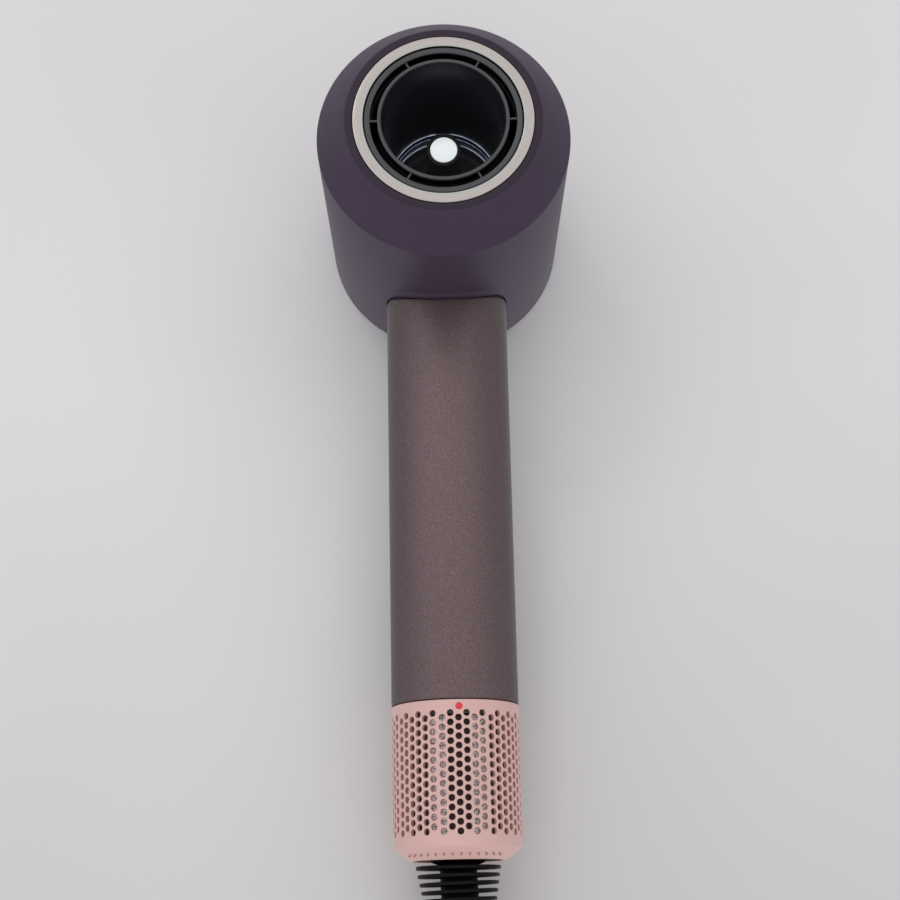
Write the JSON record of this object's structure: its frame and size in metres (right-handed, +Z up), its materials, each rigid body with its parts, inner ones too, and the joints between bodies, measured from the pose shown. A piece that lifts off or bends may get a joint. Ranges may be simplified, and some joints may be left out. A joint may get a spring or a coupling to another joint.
{
  "type": "hair dryer",
  "caption": "Hand-held hair dryer: a short drum head with a ring-shaped outlet, a slim straight tubular handle, and a perforated twist-off filter above a finned cord boot.",
  "frame": {"origin": "centre of the head's flat back, on the axis of the bore", "axes": "+Z up the handle towards the head, +Y out of the back of the head, so the outlet blows towards -Y; +X is to the right when looking into the outlet"},
  "size_m": [0.078, 0.0971, 0.303],
  "materials": {
    "purple_plastic": "fine matt moulded plastic, dusky purple",
    "bronze_paint": "satin metallic bronze-mauve paint with a fine fleck",
    "pink_plastic": "satin moulded plastic, pale pink",
    "black_gloss": "polished black moulding",
    "black_matte": "fine matt black moulding",
    "brushed_ring": "bright brushed stainless steel with a warm cast",
    "white_lens": "opal white polished window",
    "smoked_lens": "smoked polished lens",
    "red_paint": "red pad-printed dot",
    "black_rubber": "soft matt black rubber",
    "grey_plastic": "plain grey engineering plastic",
    "mica_sheet": "pressed mica board",
    "heater_alloy": "oxidised resistance ribbon",
    "magnet_alloy": "sintered magnet and laminated iron",
    "copper_wire": "lacquered copper winding",
    "board_green": "glass-epoxy circuit board with solder mask",
    "plain_steel": "machined steel",
    "cast_alloy": "machined aluminium",
    "woven_steel": "fine woven stainless screen"
  },
  "bodies": {
    "dryer": {"head_shell": "purple_plastic", "rear_cover": "purple_plastic", "rear_lens": "smoked_lens", "attachment_ring": "brushed_ring", "outlet_grille": "black_matte", "outlet_nozzle": "black_matte", "bore_liner": "black_gloss", "sensor_capsule": "black_gloss", "sensor_window": "white_lens", "sensor_board": "board_green", "lens_bezel": "black_gloss", "front_lens": "smoked_lens", "led_board": "board_green", "main_board": "board_green", "ioniser_module": "grey_plastic", "heater_frame": "mica_sheet", "heater_ribbon_front": "heater_alloy", "heater_ribbon_rear": "heater_alloy", "ring_magnet_1": "magnet_alloy", "ring_magnet_2": "magnet_alloy", "ring_magnet_3": "magnet_alloy", "speed_light_pipe": "white_lens", "heat_light_pipe": "white_lens", "board_screw_1": "plain_steel", "board_screw_2": "plain_steel", "thermal_fuse": "grey_plastic", "thermistor": "grey_plastic", "handle_tube": "bronze_paint", "handle_core": "grey_plastic", "neck_duct": "grey_plastic", "switch_board": "board_green", "handle_wiring": "black_rubber", "intake_core": "black_matte", "filter_screen": "woven_steel", "cord_clamp": "grey_plastic", "clamp_screw_1": "plain_steel", "clamp_screw_2": "plain_steel", "cable_boot": "black_rubber", "power_cable": "black_rubber", "motor_bucket": "grey_plastic", "motor_mount_upper": "black_rubber", "motor_mount_lower": "black_rubber", "bearing_carrier_upper": "grey_plastic", "bearing_carrier_lower": "grey_plastic", "bearing_upper": "plain_steel", "bearing_lower": "plain_steel", "stator_core": "magnet_alloy", "stator_coil_right": "copper_wire", "stator_coil_left": "copper_wire"},
    "rotor": {"rotor_shaft": "plain_steel", "rotor_magnet": "magnet_alloy", "impeller": "cast_alloy"},
    "power_switch": {"power_slider": "black_matte"},
    "cool_shot": {"cool_shot_button": "black_matte"},
    "speed_key": {"speed_button": "black_matte"},
    "heat_key": {"heat_button": "black_matte"},
    "mode_key": {"mode_button": "black_matte"},
    "filter_latch": {"filter_latch_ring": "black_matte"},
    "filter": {"filter_cage": "pink_plastic", "lock_mark": "red_paint"}
  },
  "joints": [
    {"name": "motor_spin", "type": "hinge", "parent": "dryer", "child": "rotor", "pos_m": [0, -0.0299, -0.135], "axis": [0, 0, 1], "continuous": true},
    {"name": "power_slide", "type": "slide", "parent": "dryer", "child": "power_switch", "axis": [0, 0, 1], "range_m": [0, 0.004]},
    {"name": "cool_shot_press", "type": "slide", "parent": "dryer", "child": "cool_shot", "axis": [0, -1, 0], "range_m": [0, 0.001]},
    {"name": "speed_press", "type": "slide", "parent": "dryer", "child": "speed_key", "axis": [0, -1, 0], "range_m": [0, 0.0008]},
    {"name": "heat_press", "type": "slide", "parent": "dryer", "child": "heat_key", "axis": [0, -1, 0], "range_m": [0, 0.0008]},
    {"name": "mode_press", "type": "slide", "parent": "dryer", "child": "mode_key", "axis": [0, -1, 0], "range_m": [0, 0.0008]},
    {"name": "filter_twist", "type": "hinge", "parent": "dryer", "child": "filter_latch", "pos_m": [0, -0.0299, -0.19], "axis": [0, 0, 1], "range_deg": [-20, 0]},
    {"name": "filter_pull", "type": "slide", "parent": "filter_latch", "child": "filter", "axis": [0, 0, -1], "range_m": [0, 0.065]}
  ]
}
